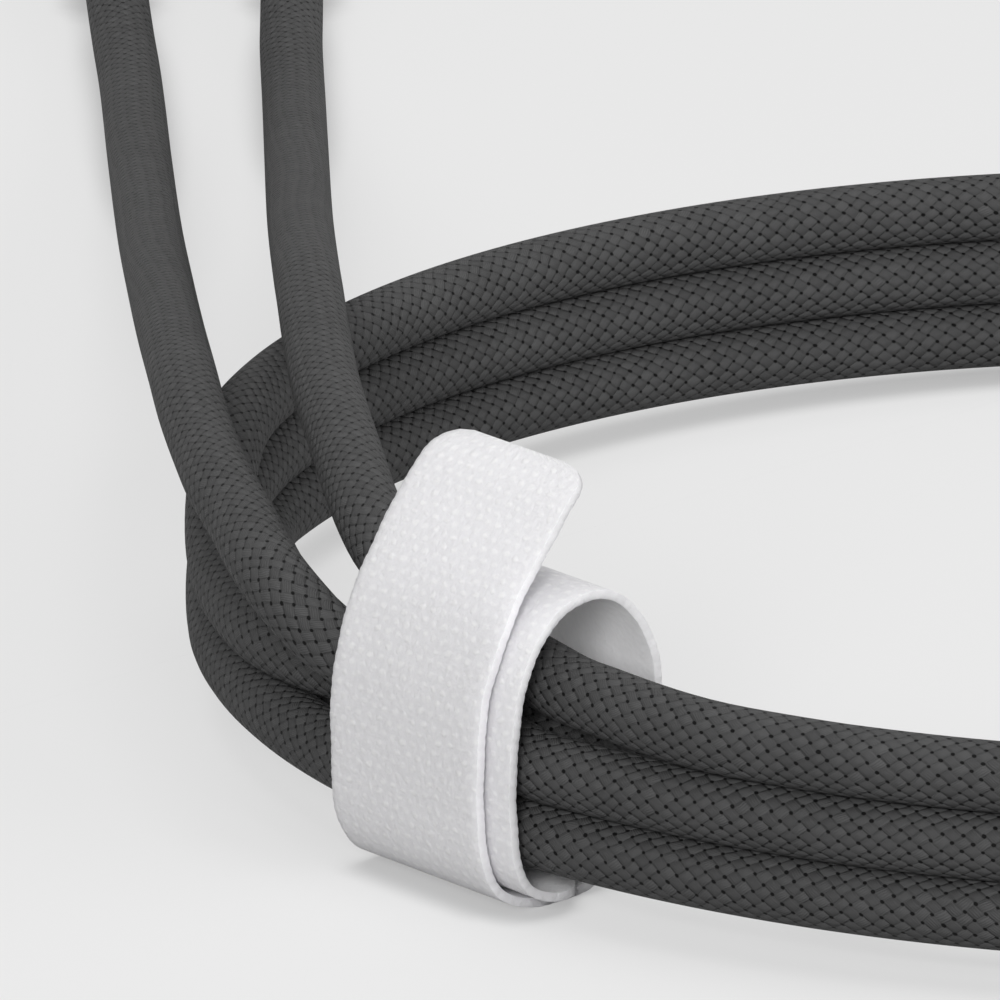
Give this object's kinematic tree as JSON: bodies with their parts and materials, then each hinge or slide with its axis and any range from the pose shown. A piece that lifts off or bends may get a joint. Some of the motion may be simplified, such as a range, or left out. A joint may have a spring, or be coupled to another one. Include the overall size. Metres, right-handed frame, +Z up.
{
  "type": "charging cable",
  "caption": "Braided charging cable wound in a ring and held by a hook-and-loop strap, its free ends running out behind to slim plugs.",
  "frame": {"origin": "centre of the bounding box at the floor", "axes": "+Z up from the floor, +Y from the wound ring towards the plugs, +X to the right of a viewer who has the ring in front"},
  "size_m": [0.1296, 0.2276, 0.023],
  "materials": {
    "braid": "fine diagonal braid of flat black yarn",
    "strap_fabric": "light grey hook-and-loop fabric",
    "housing_plastic": "black, fine satin",
    "relief_rubber": "black, matt",
    "jacket": "black, matt",
    "shell_steel": "satin",
    "shield_tin": "tin plated",
    "contact_gold": "gold plated",
    "black_plastic": "black, matt",
    "board_green": "green solder mask",
    "wire_red": "red",
    "wire_black": "black",
    "wire_green": "green",
    "wire_white": "white",
    "wire_blue": "blue"
  },
  "bodies": {
    "cable": {"cable_coil": "braid", "cable_end_a": "braid", "cable_end_b": "braid", "strap_loop": "strap_fabric", "plug_a_strain_relief": "relief_rubber", "plug_a_housing": "housing_plastic", "plug_a_shell": "shell_steel", "plug_a_insulator": "black_plastic", "plug_a_contacts_upper": "contact_gold", "plug_a_contacts_lower": "contact_gold", "plug_a_latch": "shell_steel", "plug_a_spring_upper": "shell_steel", "plug_a_spring_lower": "shell_steel", "plug_a_circuit_board": "board_green", "plug_a_chip": "black_plastic", "plug_a_resistor": "black_plastic", "plug_a_shield_upper": "shield_tin", "plug_a_shield_lower": "shield_tin", "plug_a_crimp_ferrule": "shield_tin", "plug_a_jacket_end": "jacket", "plug_a_wire_power": "wire_red", "plug_a_wire_ground": "wire_black", "plug_a_wire_data_plus": "wire_green", "plug_a_wire_data_minus": "wire_white", "plug_a_wire_control": "wire_blue", "plug_b_strain_relief": "relief_rubber", "plug_b_housing": "housing_plastic", "plug_b_shell": "shell_steel", "plug_b_insulator": "black_plastic", "plug_b_contacts_upper": "contact_gold", "plug_b_contacts_lower": "contact_gold", "plug_b_latch": "shell_steel", "plug_b_spring_upper": "shell_steel", "plug_b_spring_lower": "shell_steel", "plug_b_circuit_board": "board_green", "plug_b_chip": "black_plastic", "plug_b_resistor": "black_plastic", "plug_b_shield_upper": "shield_tin", "plug_b_shield_lower": "shield_tin", "plug_b_crimp_ferrule": "shield_tin", "plug_b_jacket_end": "jacket", "plug_b_wire_power": "wire_red", "plug_b_wire_ground": "wire_black", "plug_b_wire_data_plus": "wire_green", "plug_b_wire_data_minus": "wire_white", "plug_b_wire_control": "wire_blue"},
    "strap_tail": {"strap_tail": "strap_fabric"}
  },
  "joints": [
    {"name": "strap_peel", "type": "hinge", "parent": "cable", "child": "strap_tail", "pos_m": [-0.03833, -0.09306, 0.0138], "axis": [0.6361, -0.7716, 0], "range_deg": [-5, 70]}
  ]
}
